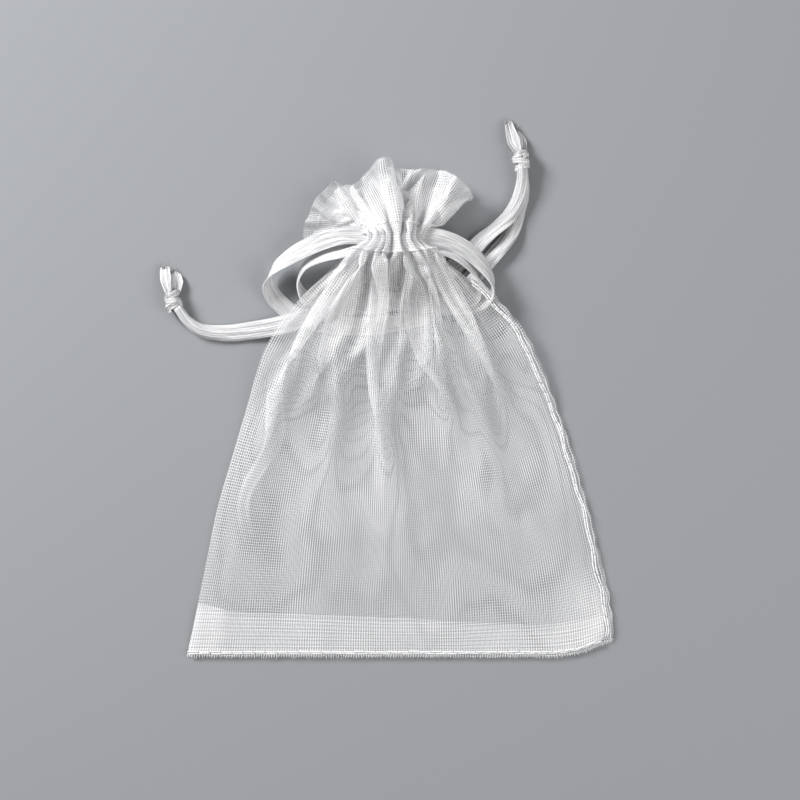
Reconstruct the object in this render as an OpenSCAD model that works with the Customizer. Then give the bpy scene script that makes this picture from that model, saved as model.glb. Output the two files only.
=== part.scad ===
// Drawstring gift pouch of sheer cloth, empty, lying on its back with the neck drawn shut.
// X runs along the bottom seam, +Y points to the frilled mouth and +Z is up from the table.

/* [Pouch] */
// Width across the bottom seam
bottom_w = 70; // [60:1:84]
// Length as it lies, from the bottom seam to the tip of the frill
pouch_l = 82; // [78:1:88]
// Height of the front panel over the table at its fullest
puff_h = 8.4; // [7:0.1:12]
// Thickness of each cloth wall
cloth_t = 0.5; // [0.3:0.05:0.6]
// Width of the sewn seam allowance
seam_w = 1.2; // [0.8:0.1:1.6]

/* [Neck] */
// Width of the gathered neck
neck_w = 10; // [9:0.1:12]
// Height of the gathered neck
neck_h = 8.8; // [8.6:0.1:10]
// Thickness of each gathered layer of the casing
gather_t = 0.4; // [0.3:0.05:0.5]
// Distance between the two rows of casing stitches
channel_w = 3.4; // [3.2:0.1:4]
// Height of the side openings that the ribbons leave by
side_gap = 2; // [1.6:0.1:2.4]

/* [Ribbon] */
// Width of the drawstring ribbon
ribbon_w = 3; // [2:0.1:3.2]
// Thickness of the drawstring ribbon
ribbon_t = 0.25; // [0.15:0.05:0.25]
// Diameter of the knots
knot_d = 2.8; // [2.4:0.1:3.4]

/* [Thread] */
// Length of one stitch
stitch_l = 1.5; // [1:0.1:1.7]
// Thickness of the sewing thread
thread_t = 0.25; // [0.2:0.05:0.3]

/* [Hidden] */

// Where the pouch's parts begin and end along Y
bottom_y = -pouch_l / 2;
panel_y = bottom_y + 1;
stitch_band = 0.8;
casing_l = channel_w + 2 * stitch_band;
casing_y = 25;
heading_y = casing_y + casing_l;
flat_y = -1;
rows = 20;
columns = 20;
row_step = (casing_y - panel_y) / rows;
flat_rows = floor((flat_y - panel_y) / row_step);

// Centre of the neck, over the table
neck_x = -0.9;
neck_z = 5.8;

// The side edges of the lying cloth: [y, share of half the bottom width]
shoulder_y = 23.4;
left_edge = [[-41, -1], [-16, -0.855], [10, -0.634], [16, -0.52], [21, -0.36], [shoulder_y, -0.26]];
right_edge = [[-41, 0.8], [-40, 0.93], [-36.75, 1], [-32, 0.985], [-19, 0.904], [-6, 0.8],
              [5, 0.68], [12, 0.583], [18, 0.437], [21, 0.34], [shoulder_y, 0.24]];

// Height of the side edges, of the front's crown and of the back's lowest line, by y
edge_height = [[-41, cloth_t], [flat_y, cloth_t], [6, 1.9], [14, 2.7], [20, 3.8], [casing_y, neck_z]];
crown_height = [[-41, cloth_t], [-38, 3], [-33, 5.4], [-24, 7.2], [-8, 8], [8, puff_h],
                [16, 8.8], [casing_y, neck_z + neck_h / 2 - cloth_t]];
back_height = [[-41, cloth_t], [flat_y, cloth_t], [8, 1.95], [18, 1.95],
               [casing_y, neck_z - neck_h / 2 + cloth_t]];

// Gathers that run down from the neck into the front panel
gather_h = 0.45;
gather_waves = 7;
gather_fade = [[-6, 0], [12, 0.5], [22, 1], [casing_y, 0.2]];

// Rim of the frill: [angle round the neck, distance right of the neck's centre, rise above the casing]
frill_rim = [[0, 13.1, 4.2], [22, 12.3, 5.9], [40, 10.3, 7.2], [54, 8.3, 8.8], [66, 6.3, 9], [78, 3.5, 9],
             [88, 0.7, 9.4], [92, -0.5, pouch_l / 2 - heading_y], [98, -2.9, 10], [105, -5, 8.2],
             [112, -6.5, 6.2], [120, -8.3, 6.4], [128, -10.2, 7], [138, -12, 5.6], [150, -13.5, 3.6],
             [165, -14.9, 1.6], [180, -14.7, -0.4]];
frill_out = [for (p = frill_rim) [p[0], p[1]]];
frill_up = [for (p = frill_rim) [p[0], p[2]]];
frill_columns = 45;
frill_rows = 6;
frill_t = 0.8;
frill_edge_h = 3;
frill_crown_h = 8.8;
frill_wave_h = 0.4;
frill_waves = 9;

// Ribbon routes, [x, y, z]. Ribbon A leaves the neck on the left and ends at the upper right.
a_curve_outer = [[-5.9, 27.9, 6.1], [-9.9, 27.8, 5.6], [-14.3, 26.4, 4.4], [-18, 24.6, 3], [-20.6, 22.8, 1.8],
                 [-21.6, 20.4, 0.8], [-20.8, 18.2, 0.3], [-19.2, 16.6, 0.13]];
a_curve_inner = [[-5.9, 26.4, 5.3], [-9.6, 25.4, 4.4], [-13, 24.6, 3.2], [-15.6, 23.2, 2], [-16.7, 21, 0.85],
                 [-16.3, 19.2, 0.46], [-14.8, 17.5, 0.42], [-12.9, 17, 0.42]];
a_run_outer = [[-18.7, 16.2, 0.13], [-17.6, 15.4, 0.13], [-14.5, 14, 0.13], [-9, 13.4, 0.13],
               [-3, 13.5, 0.13], [3, 14.8, 0.13], [8, 17.6, 0.13], [11.6, 21, 0.13], [13.4, 23, 0.13]];
a_run_inner = [[-12, 16.9, 0.42], [-10, 16.9, 0.42], [-4, 17, 0.42], [1.6, 18, 0.42], [6, 20.6, 0.42],
               [9.6, 23.8, 0.42], [12.3, 26.5, 0.42]];
a_end_outer = [[15.6, 25.5, 0.13], [17.6, 28, 0.13], [19, 31, 0.13], [20, 34, 0.25], [20.3, 37, 0.8],
               [20, 39.6, 1.2]];
a_end_inner = [[13.4, 27.7, 0.42], [15.8, 29.8, 0.45], [18, 31.9, 0.6], [19.4, 34.4, 0.75], [20, 37.2, 1.3],
               [19.9, 39.6, 1.7]];
a_knot = [19.9, 40.4, 1.45];
a_tail_long = [[19.6, 41.6, 1.5], [18.6, 44, 1.2], [17.8, 46.8, 0.5]];
a_tail_short = [[20.2, 41.6, 1.1], [20, 43.8, 0.8], [19.4, 45.6, 0.4]];

// Ribbon B leaves the neck on the right and ends at the left.
b_curve_outer = [[4.1, 27.8, 6.1], [7, 27.3, 5.8], [9.8, 26.2, 5], [12.2, 24.6, 4], [14.2, 22.4, 2.8],
                 [15.2, 20.2, 2.1], [15, 18.5, 1.6], [13.6, 17.2, 1.3], [11.6, 16.8, 1.12]];
b_curve_inner = [[4.1, 26.4, 5.3], [7, 26, 4.9], [9.6, 24.8, 4], [11.6, 23, 2.8], [12.8, 21, 1.7],
                 [12.9, 19.2, 0.95], [12.2, 17.9, 0.78], [10.8, 17.2, 0.76], [9.4, 17, 0.76]];
b_run_outer = [[10.7, 16.7, 1.05], [8, 16.6, 1.05], [3, 17, 1.05], [-2, 17.6, 1.05], [-6, 17.8, 1.05],
               [-10, 16.9, 1.05], [-14, 15.1, 1.05], [-17.6, 14, 1.05]];
b_run_inner = [[8.6, 16.9, 0.76], [7, 16.8, 0.76], [3, 17, 0.76], [-2, 17.6, 0.76], [-6, 17.8, 0.76],
               [-10, 16.9, 0.76], [-14, 15.1, 0.76], [-17.6, 14, 0.76]];
b_end_outer = [[-19.2, 13.6, 1.05], [-22, 13, 0.8], [-25.5, 12.5, 0.5], [-29.4, 12.2, 0.45],
               [-32.6, 12.7, 0.55], [-34.8, 14.2, 0.95], [-36.4, 16.4, 1.5]];
b_end_inner = [[-19.2, 13.6, 0.76], [-22, 13, 0.5], [-25.5, 12.5, 0.2], [-29.4, 12.2, 0.15],
               [-32.6, 12.7, 0.2], [-34.8, 14.2, 0.6], [-36.4, 16.4, 1.1]];
b_knot = [-37.2, 17.6, 1.45];
b_tail_long = [[-37.8, 18.8, 1.6], [-38.6, 21, 1.2], [-39, 23.2, 0.5]];
b_tail_short = [[-37, 18.8, 1.1], [-36.8, 20.4, 0.8], [-37.2, 22, 0.4]];
tail_w = 2;

// Radii of the casing's layers, as steps in from the outside of the neck
layer_gap = 0.1;
channel_out = gather_t;
ribbon_b_in = channel_out + layer_gap + ribbon_t;
ribbon_a_in = ribbon_b_in + layer_gap + ribbon_t;
channel_in = ribbon_a_in + layer_gap;
casing_in = channel_in + gather_t;

cloth_colour = [0.93, 0.93, 0.94, 0.6];
thread_colour = [1, 1, 1];
ribbon_colour = [0.97, 0.97, 0.97];

// ---- Cloth surfaces ----

function mix(from, to, share) = from + (to - from) * share;
function row_y(row) = panel_y + row * row_step;
// Past the shoulder the edges run straight in to the sides of the neck
function past_shoulder(y) = max(0, (y - shoulder_y) / (casing_y - shoulder_y));
function left_x(y) = mix(lookup(y, left_edge) * bottom_w / 2, neck_x - neck_w / 2, past_shoulder(y));
function right_x(y) = mix(lookup(y, right_edge) * bottom_w / 2, neck_x + neck_w / 2, past_shoulder(y));
// The side seam narrows away where it runs into the casing
function panel_right_x(y) = right_x(y) - seam_w * min(1, (casing_y - y) / 6);

// Exponent of the cross-sections: 2 is an ellipse, and more is fuller
fullness = 2.6;
// Share of the full height at u, from -1 at one side edge to 1 at the other
function arch(u, y) = pow(1 - pow(abs(u), fullness), y > 12 ? 1 / fullness : 0.7);
function gathers(u, y) = gather_h * lookup(y, gather_fade) * (1 - u * u) * cos(180 * gather_waves * u);
function panel_x(u, y) = mix(left_x(y), panel_right_x(y), (u + 1) / 2);
function front_z(u, y) = mix(lookup(y, edge_height), lookup(y, crown_height), arch(u, y)) + gathers(u, y);
function back_z(u, y) = mix(lookup(y, edge_height), lookup(y, back_height), arch(u, y));

// A closed sheet between two grids of points that have the same rows and columns
module sheet(upper, lower) {
    across = len(upper[0]);
    down = len(upper);
    count = across * down;
    function at(r, c) = r * across + c;
    faces = concat(
        [for (r = [0:down - 2], c = [0:across - 2]) each [
            [at(r, c), at(r + 1, c), at(r + 1, c + 1)],
            [at(r, c), at(r + 1, c + 1), at(r, c + 1)],
            [count + at(r, c), count + at(r + 1, c + 1), count + at(r + 1, c)],
            [count + at(r, c), count + at(r, c + 1), count + at(r + 1, c + 1)]
        ]],
        [for (r = [0:down - 2], c = [0, across - 1]) each let(
            a = at(c == 0 ? r + 1 : r, c),
            b = at(c == 0 ? r : r + 1, c)
        ) [[a, b, count + b], [a, count + b, count + a]]],
        [for (c = [0:across - 2], r = [0, down - 1]) each let(
            a = at(r, r == 0 ? c : c + 1),
            b = at(r, r == 0 ? c + 1 : c)
        ) [[a, b, count + b], [a, count + b, count + a]]]
    );
    polyhedron(points = concat([for (line = upper) each line], [for (line = lower) each line]),
               faces = faces, convexity = 8);
}

// The domed front of the pouch
module front_panel() {
    grid = [for (r = [0:rows]) [for (c = [0:columns])
        let(u = 2 * c / columns - 1, y = row_y(r)) [panel_x(u, y), y, front_z(u, y)]]];
    color(cloth_colour)
        sheet([for (line = grid) [for (p = line) p + [0, 0, cloth_t]]], grid);
}

// The back of the pouch: flat on the table, then lifted towards the neck over the ribbons
module back_panel() {
    grid = [for (r = [flat_rows:rows]) [for (c = [0:columns])
        let(u = 2 * c / columns - 1, y = row_y(r)) [panel_x(u, y), y, back_z(u, y)]]];
    color(cloth_colour) {
        linear_extrude(cloth_t)
            polygon(concat(
                [for (r = [0:flat_rows]) [panel_right_x(row_y(r)), row_y(r)]],
                [for (r = [flat_rows:-1:0]) [left_x(row_y(r)), row_y(r)]]
            ));
        sheet(grid, [for (line = grid) [for (p = line) p - [0, 0, cloth_t]]]);
    }
}

// ---- Seams ----

// The two cloth layers sewn together along the bottom
module bottom_seam() {
    color(cloth_colour)
        linear_extrude(2 * cloth_t)
            polygon([[left_x(panel_y), panel_y], [left_x(bottom_y), bottom_y],
                     [right_x(bottom_y), bottom_y], [right_x(panel_y), panel_y]]);
}

// The two cloth layers sewn together along the right side
module side_seam() {
    middle = [for (r = [0:rows - 1]) let(y = row_y(r))
        [[panel_right_x(y), y, lookup(y, edge_height)], [right_x(y), y, lookup(y, edge_height)]]];
    color(cloth_colour)
        sheet([for (line = middle) [for (p = line) p + [0, 0, cloth_t]]],
              [for (line = middle) [for (p = line) p - [0, 0, cloth_t]]]);
}

module stitch(place, turn) {
    translate(place) rotate([0, 0, turn])
        translate([-stitch_l / 2, -thread_t / 2, -thread_t / 2]) cube([stitch_l, thread_t, thread_t]);
}

module bottom_stitches() {
    pitch = stitch_l * 1.35;
    start = left_x(bottom_y) + pitch;
    count = floor((right_x(bottom_y) - start) / pitch);
    color(thread_colour)
        for (i = [0:count]) stitch([start + i * pitch, bottom_y + 0.5, 2 * cloth_t], 0);
}

module side_stitches() {
    pitch = stitch_l * 1.35;
    count = floor((20 - panel_y) / pitch);
    color(thread_colour)
        for (i = [1:count]) let(
            y = panel_y + i * pitch,
            x = (panel_right_x(y) + right_x(y)) / 2,
            slope = atan2(1, right_x(y + 0.5) - right_x(y - 0.5))
        ) stitch([x, y, lookup(y, edge_height) + cloth_t], slope);
}

// ---- Neck ----

function swell(share) = sign(share) * pow(abs(share), 2 / fullness);
function oval(inset, from, to, steps = 40) = [for (i = [0:steps]) let(angle = mix(from, to, i / steps))
    [(neck_w / 2 - inset) * swell(cos(angle)), (neck_h / 2 - inset) * swell(sin(angle))]];

// A stretch of an oval tube round the neck, from one depth to another and one angle to another
module neck_band(outside, inside, start_y, length, from = 0, to = 180) {
    translate([neck_x, start_y + length, neck_z]) rotate([90, 0, 0])
        linear_extrude(length)
            polygon(concat(oval(outside, from, to), oval(inside, to, from)));
}

// Half of the casing: two gathered layers, joined by the stitched bands at both ends
module casing_half(side) {
    open_angle = asin(side_gap / neck_h);
    from = side > 0 ? open_angle : 180 + open_angle;
    to = side > 0 ? 180 - open_angle : 360 - open_angle;
    difference() {
        neck_band(0, casing_in, casing_y, casing_l, from, to);
        neck_band(channel_out, channel_in, casing_y + stitch_band, channel_w, from - 5, to + 5);
    }
}

module casing_front() color(cloth_colour) casing_half(1);
module casing_back() color(cloth_colour) casing_half(-1);

// The thread of both rows, laid on the outside of the casing
module casing_stitches() {
    color(thread_colour)
        for (y = [casing_y + stitch_band / 2, heading_y - stitch_band / 2], half = [0, 180])
            neck_band(-thread_t, 0, y - thread_t / 2, thread_t, half + 20, half + 160);
}

// A ribbon's turn through both halves of the casing, open on the side where it leaves
module ribbon_turn(inside, gap_at) {
    color(ribbon_colour)
        neck_band(inside - ribbon_t, inside, casing_y + stitch_band + (channel_w - ribbon_w) / 2, ribbon_w,
                  gap_at + 16, gap_at + 344);
}

module ribbon_a_casing() ribbon_turn(ribbon_a_in, 180);
module ribbon_b_casing() ribbon_turn(ribbon_b_in, 0);

// ---- Frill above the casing ----

function frill_point(share, angle) = [
    neck_x + mix(neck_w / 2 * swell(cos(angle)), lookup(angle, frill_out), share),
    heading_y + share * lookup(angle, frill_up)
];
function frill_front_z(share, angle) =
    mix(neck_z + (neck_h / 2 - frill_t) * swell(sin(angle)),
        frill_edge_h + (frill_crown_h - frill_edge_h) * sin(angle), share)
    + share * sin(angle) * frill_wave_h * cos(2 * frill_waves * angle);
function frill_back_z(share, angle) =
    mix(neck_z - (neck_h / 2 - frill_t) * swell(sin(angle)),
        frill_edge_h - (frill_edge_h - frill_t) * sin(angle), share);

module frill(front) {
    rise = front ? frill_t : -frill_t;
    grid = [for (s = [0:frill_rows]) [for (c = [0:frill_columns])
        let(share = s / frill_rows, angle = 180 - 180 * c / frill_columns, place = frill_point(share, angle))
        [place[0], place[1], front ? frill_front_z(share, angle) : frill_back_z(share, angle)]]];
    moved = [for (line = grid) [for (p = line) p + [0, 0, rise]]];
    color(cloth_colour)
        sheet(front ? moved : grid, front ? grid : moved);
}

module heading_front() frill(true);
module heading_back() frill(false);

// ---- Drawstring ribbons ----

// Unit direction along a path in plan, at point i
function heading_of(path, i) = let(
    to = path[min(i + 1, len(path) - 1)] - path[max(i - 1, 0)],
    length = norm([to[0], to[1]])
) [to[0] / length, to[1] / length];

// A flat ribbon laid along a path, its width level, with eight-sided sections
module ribbon(path, width = ribbon_w) {
    half = width / 2;
    flat = half - 0.1;
    section = [[half, -ribbon_t / 4], [half, ribbon_t / 4], [flat, ribbon_t / 2], [-flat, ribbon_t / 2],
               [-half, ribbon_t / 4], [-half, -ribbon_t / 4], [-flat, -ribbon_t / 2], [flat, -ribbon_t / 2]];
    sides = len(section);
    last = len(path) - 1;
    points = [for (i = [0:last], s = section) let(d = heading_of(path, i))
        path[i] + [d[1] * s[0], -d[0] * s[0], s[1]]];
    faces = concat(
        [[for (k = [0:sides - 1]) k]],
        [[for (k = [sides - 1:-1:0]) last * sides + k]],
        [for (i = [0:last - 1], k = [0:sides - 1]) each let(n = (k + 1) % sides) [
            [i * sides + k, (i + 1) * sides + k, (i + 1) * sides + n],
            [i * sides + k, (i + 1) * sides + n, i * sides + n]
        ]]
    );
    color(ribbon_colour) polyhedron(points = points, faces = faces, convexity = 6);
}

module ribbon_a_curve_outer() ribbon(a_curve_outer);
module ribbon_a_curve_inner() ribbon(a_curve_inner);
module ribbon_a_run_outer() ribbon(a_run_outer);
module ribbon_a_run_inner() ribbon(a_run_inner);
module ribbon_a_end_outer() ribbon(a_end_outer);
module ribbon_a_end_inner() ribbon(a_end_inner);
module ribbon_b_curve_outer() ribbon(b_curve_outer);
module ribbon_b_curve_inner() ribbon(b_curve_inner);
module ribbon_b_run_outer() ribbon(b_run_outer);
module ribbon_b_run_inner() ribbon(b_run_inner);
module ribbon_b_end_outer() ribbon(b_end_outer);
module ribbon_b_end_inner() ribbon(b_end_inner);

// An overhand knot: a round middle with two turns of ribbon over it
module knot(place, turn) {
    color(ribbon_colour)
        translate(place) rotate([0, 0, turn]) {
            sphere(d = knot_d - 0.3, $fn = 32);
            for (tilt = [-28, 28]) rotate([90, 0, tilt])
                rotate_extrude($fn = 32) translate([knot_d / 2 - 0.6, 0]) circle(d = 1, $fn = 16);
        }
}

module ribbon_a_knot() knot(a_knot, 0);
module ribbon_b_knot() knot(b_knot, 20);

module ribbon_a_tails() {
    ribbon(a_tail_long, tail_w);
    ribbon(a_tail_short, tail_w);
}

module ribbon_b_tails() {
    ribbon(b_tail_long, tail_w);
    ribbon(b_tail_short, tail_w);
}

front_panel();
back_panel();
bottom_seam();
side_seam();
bottom_stitches();
side_stitches();
casing_front();
casing_back();
casing_stitches();
heading_front();
heading_back();
ribbon_a_casing();
ribbon_b_casing();
ribbon_a_curve_outer();
ribbon_a_curve_inner();
ribbon_a_run_outer();
ribbon_a_run_inner();
ribbon_a_end_outer();
ribbon_a_end_inner();
ribbon_a_knot();
ribbon_a_tails();
ribbon_b_curve_outer();
ribbon_b_curve_inner();
ribbon_b_run_outer();
ribbon_b_run_inner();
ribbon_b_end_outer();
ribbon_b_end_inner();
ribbon_b_knot();
ribbon_b_tails();
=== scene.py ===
"""Looks of the drawstring gift pouch: sheer organza drawn shut by two flat ribbons, lying on its back."""

import math

import bpy
import numpy as np
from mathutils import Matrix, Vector


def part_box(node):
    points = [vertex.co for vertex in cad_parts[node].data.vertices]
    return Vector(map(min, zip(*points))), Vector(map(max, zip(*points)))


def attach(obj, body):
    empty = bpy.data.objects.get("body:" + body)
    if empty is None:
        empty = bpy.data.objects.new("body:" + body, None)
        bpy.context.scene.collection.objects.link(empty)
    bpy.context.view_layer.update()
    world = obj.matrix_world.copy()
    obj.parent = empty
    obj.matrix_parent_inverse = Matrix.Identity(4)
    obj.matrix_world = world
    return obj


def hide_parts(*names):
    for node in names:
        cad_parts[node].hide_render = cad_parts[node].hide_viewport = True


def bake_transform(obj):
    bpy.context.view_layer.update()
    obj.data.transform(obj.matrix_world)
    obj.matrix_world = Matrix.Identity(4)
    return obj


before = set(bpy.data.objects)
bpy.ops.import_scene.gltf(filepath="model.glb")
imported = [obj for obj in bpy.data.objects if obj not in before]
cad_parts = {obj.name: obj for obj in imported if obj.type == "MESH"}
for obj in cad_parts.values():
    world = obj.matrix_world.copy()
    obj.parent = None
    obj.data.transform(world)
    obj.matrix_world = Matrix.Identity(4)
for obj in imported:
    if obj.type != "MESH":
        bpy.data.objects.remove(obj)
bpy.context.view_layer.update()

MM = 0.001
UV_MM = 100  # of cloth or ribbon to one unit of a piece's UV map
UP = np.array([0, 0, 1.0])
TABLE = 0.01  # mm, the least height of ribbon and thread
rng = np.random.default_rng(7)  # for loose threads and stitches

# The camera's view and the plain studio, in metres
VIEW_W = 0.1318
VIEW_MIDDLE_Y = 0.0012
LENS, SENSOR_W = 100, 36
FLOOR_SIZE = 8
FLOOR_Z = -0.00005
FLOOR_GREY = (0.29, 0.30, 0.315, 1)
WORLD_STRENGTH = 0.24

# The cut cloth, in mm: half the way round, and its height in rows 1 mm apart
HALF_ROUND = 70
BODY_ROWS = 70
CASING_ROWS = 5
FRILL_ROWS = 11
ALL_ROWS = BODY_ROWS + CASING_ROWS + FRILL_ROWS
BAND_H = 6.4  # the denser band along the bottom
SEAM_IN = 1.2  # from the raw edge to the side seam
BOTTOM_IN = 0.8  # from the raw edge to the bottom seam
SEAM_ROWS = 63  # of the body that show the side seam, before it goes in among the gathers
PLEATS = 10  # across each half of the neck
FAN = 58  # degrees that the gathers spread to either side below the neck
RIM_FRONT_Z, RIM_BACK_Z, RIM_SIDE_Z = 6.4, 2.6, 2.2  # the frill's edge before it settles
FACING_IN = 0.18  # from the casing in to the turned-in cloth
FACING_DRAWN = 0.24  # of the way to the neck's middle, where the ribbons draw the turned-in cloth in
LOWEST = 0.2  # height of the cloth's edges over the table
LAYER_GAP = 0.3  # least height between two layers of cloth

# Ribbon and thread, in mm
RIBBON_W = 3.0
RIBBON_T = 0.22
RIBS = 8
RIB_DEPTH = 0.045
CREASE_DEPTH = 0.04
FLAT_CURL = 0.05  # radians, the least curl of a section
THREAD_PITCH = 0.41  # from one warp thread of the organza to the next
LOOSE_R = 0.045  # of a loose thread at a raw edge
RING_STEP = 0.5  # from one ring of a strand's skin to the next

# How the cloth settles, per step: what is left of its speed, its weight, its top speed, and the rim's hold
DRAG, WEIGHT, TOP_SPEED, RIM_HOLD = 0.96, 0.0016, 0.4, 0.3
STEPS, QUICK_STEPS = 900, 40

# The ribbons' routes from the casing to the knots, as in part.scad, in mm
A_OUTER = [
    (-5.9, 27.9, 6.1), (-9.9, 27.8, 5.6), (-14.3, 26.4, 4.4), (-18, 24.6, 3), (-20.6, 22.8, 1.8),
    (-21.6, 20.4, 0.8), (-20.8, 18.2, 0.3), (-19.2, 16.6, 0.13), (-18.7, 16.2, 0.13), (-17.6, 15.4, 0.13),
    (-14.5, 14, 0.13), (-9, 13.4, 0.13), (-3, 13.5, 0.13), (3, 14.8, 0.13), (8, 17.6, 0.13),
    (11.6, 21, 0.13), (13.4, 23, 0.13), (15.6, 25.5, 0.13), (17.6, 28, 0.13), (19, 31, 0.13),
    (20, 34, 0.25), (20.3, 37, 0.8), (20, 39.6, 1.2)]
A_INNER = [
    (-5.9, 26.4, 5.3), (-9.6, 25.4, 4.4), (-13, 24.6, 3.2), (-15.6, 23.2, 2), (-16.7, 21, 0.85),
    (-16.3, 19.2, 0.46), (-14.8, 17.5, 0.42), (-12.9, 17, 0.42), (-12, 16.9, 0.42), (-10, 16.9, 0.42),
    (-4, 17, 0.42), (1.6, 18, 0.42), (6, 20.6, 0.42), (9.6, 23.8, 0.42), (12.3, 26.5, 0.42),
    (13.4, 27.7, 0.42), (15.8, 29.8, 0.45), (18, 31.9, 0.6), (19.4, 34.4, 0.75), (20, 37.2, 1.3),
    (19.9, 39.6, 1.7)]
B_OUTER = [
    (4.1, 27.8, 6.1), (7, 27.3, 5.8), (9.8, 26.2, 5), (12.2, 24.6, 4), (14.2, 22.4, 2.8),
    (15.2, 20.2, 2.1), (15, 18.5, 1.6), (13.6, 17.2, 1.3), (11.6, 16.8, 1.12), (10.7, 16.7, 1.05),
    (8, 16.6, 1.05), (3, 17, 1.05), (-2, 17.6, 1.05), (-6, 17.8, 1.05), (-10, 16.9, 1.05),
    (-14, 15.1, 1.05), (-17.6, 14, 1.05), (-19.2, 13.6, 1.05), (-22, 13, 0.8), (-25.5, 12.5, 0.5),
    (-29.4, 12.2, 0.45), (-32.6, 12.7, 0.55), (-34.8, 14.2, 0.95), (-36.4, 16.4, 1.5)]
B_INNER = [
    (4.1, 26.4, 5.3), (7, 26, 4.9), (9.6, 24.8, 4), (11.6, 23, 2.8), (12.8, 21, 1.7), (12.9, 19.2, 0.95),
    (12.2, 17.9, 0.78), (10.8, 17.2, 0.76), (9.4, 17, 0.76), (8.6, 16.9, 0.76), (7, 16.8, 0.76),
    (3, 17, 0.76), (-2, 17.6, 0.76), (-6, 17.8, 0.76), (-10, 16.9, 0.76), (-14, 15.1, 0.76),
    (-17.6, 14, 0.76), (-19.2, 13.6, 0.76), (-22, 13, 0.5), (-25.5, 12.5, 0.2), (-29.4, 12.2, 0.15),
    (-32.6, 12.7, 0.2), (-34.8, 14.2, 0.6), (-36.4, 16.4, 1.1)]

# The turn inside the casing that comes before each route, in mm
A_FRONT_TURN = [
    (2.2, 27.4, 6.6), (0.6, 27.4, 7.7), (-0.9, 27.4, 7.95), (-2.6, 27.5, 7.6), (-4.2, 27.7, 6.8)]
A_BACK_TURN = [
    (2.2, 27, 5), (0.6, 26.9, 3.9), (-0.9, 26.9, 3.65), (-2.6, 26.8, 4), (-4.2, 26.6, 4.8)]
B_FRONT_TURN = [
    (-4, 27.2, 6.4), (-2.4, 27.2, 7.4), (-0.9, 27.3, 7.6), (0.9, 27.5, 7.3), (2.5, 27.7, 6.6)]
B_BACK_TURN = [
    (-4, 26.8, 5.2), (-2.4, 26.8, 4.2), (-0.9, 26.7, 3.95), (0.9, 26.6, 4.2), (2.5, 26.5, 4.8)]

# How each strand's width turns from level, and how its section curls: (point, degrees) pairs. The points
# of the turn inside the casing count too. The last curls roll the ribbon up towards its knot.
CASING_CURL = [(0, 15), (7, 25), (10, 15), (13, 0)]
A_OUTER_TURN = [(0, 0), (5, -4), (7, -12), (8, -26), (9, -52), (10, -120), (11, -180), (12, -180), (14, -180),
                (20, -180), (21, -178), (22, -146), (23, -152), (24, -182), (27, -180)]
A_OUTER_CURL = CASING_CURL + [(22, -60), (24, -125), (25, -180), (26, -200), (27, -290)]
A_INNER_TURN = [(0, 0), (4, -12), (5, -25), (6, -42), (8, -60), (9, -86), (10, -112), (11, -150), (13, -180),
                (19, -180), (20, -130), (21, -132), (22, -170), (25, -180)]
A_INNER_CURL = CASING_CURL + [(20, -60), (22, -125), (23, -180), (24, -200), (25, -290)]
B_OUTER_TURN = [(0, 0), (5, 4), (7, 12), (8, 25), (9, 45), (10, 76), (11, 112), (12, 150), (14, 176),
                (16, 180), (26, 180), (27, 174), (28, 160)]
B_INNER_TURN = [(0, 0), (4, 12), (5, 20), (7, 40), (8, 58), (9, 84), (10, 106), (11, 135), (13, 172),
                (15, 180), (22, 186), (24, 180), (27, 174), (28, 160)]
B_CURL = CASING_CURL + [(22, -10), (24, -60), (25, -90), (26, -180), (27, -260), (28, -330)]

# Knots, the two tails past each, and threads that stick out of knot B as (root, direction), in mm.
# A tail's widths are (share of its length, mm) pairs; its turns and curls are degrees at its two ends.
A_KNOT, A_KNOT_AXIS = (19.9, 40.4, 1.45), (-0.16, 1, 0)
A_TAILS = [
    dict(route=[(19.6, 41.6, 1.5), (18.6, 44, 1.2), (17.8, 46.8, 0.5)],
         widths=[(0, 1.5), (0.4, 2.5), (1, 1.3)], turns=(20, -15), curls=(-150, -50), seed=12),
    dict(route=[(20.2, 41.6, 1.1), (20, 43.8, 0.8), (19.4, 45.6, 0.4)],
         widths=[(0, 1.3), (0.5, 1.7), (1, 0.5)], turns=(-30, -45), curls=(-150, -60), seed=13)]
B_KNOT, B_KNOT_AXIS = (-37.2, 17.5, 1.45), (-0.25, 1, 0)
B_TAILS = [
    dict(route=[(-37.8, 18.8, 1.6), (-38.3, 20.8, 1.3), (-38.7, 23, 0.7)],
         widths=[(0, 1.5), (0.5, 2.1), (1, 1.7)], turns=(25, 10), curls=(-130, -30), seed=22),
    dict(route=[(-37, 18.8, 1.1), (-37, 20.4, 0.9), (-37.3, 22.2, 0.5)],
         widths=[(0, 1.7), (0.5, 2.8), (0.85, 2.4), (1, 1.3)], turns=(-15, -20), curls=(-120, -40), seed=23)]
B_LOOSE = [((-38.3, 16.9, 0.9), (-1, -0.3, 0)), ((-38.4, 16.5, 0.7), (-1, 0.1, 0)),
           ((-37.9, 16.2, 0.6), (-0.6, -1, 0))]

# Rim of the frill from its right end to its left, in mm: right of the neck, above the casing
FRILL_RIM = [(13.1, 4.2), (12.3, 5.9), (10.3, 7.2), (8.3, 8.8), (6.3, 9), (3.5, 9), (0.7, 9.4), (-0.5, 11),
             (-2.9, 10), (-5, 8.2), (-6.5, 6.2), (-8.3, 6.4), (-10.2, 7), (-12.1, 5.4), (-13.8, 2.6),
             (-14.9, -0.2), (-15.2, -2.4)]


def place(name, data):
    """A new object of some data, put in the scene."""
    thing = bpy.data.objects.new(name, data)
    bpy.context.collection.objects.link(thing)
    return thing


# ---- Camera, light and floor ----

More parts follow.
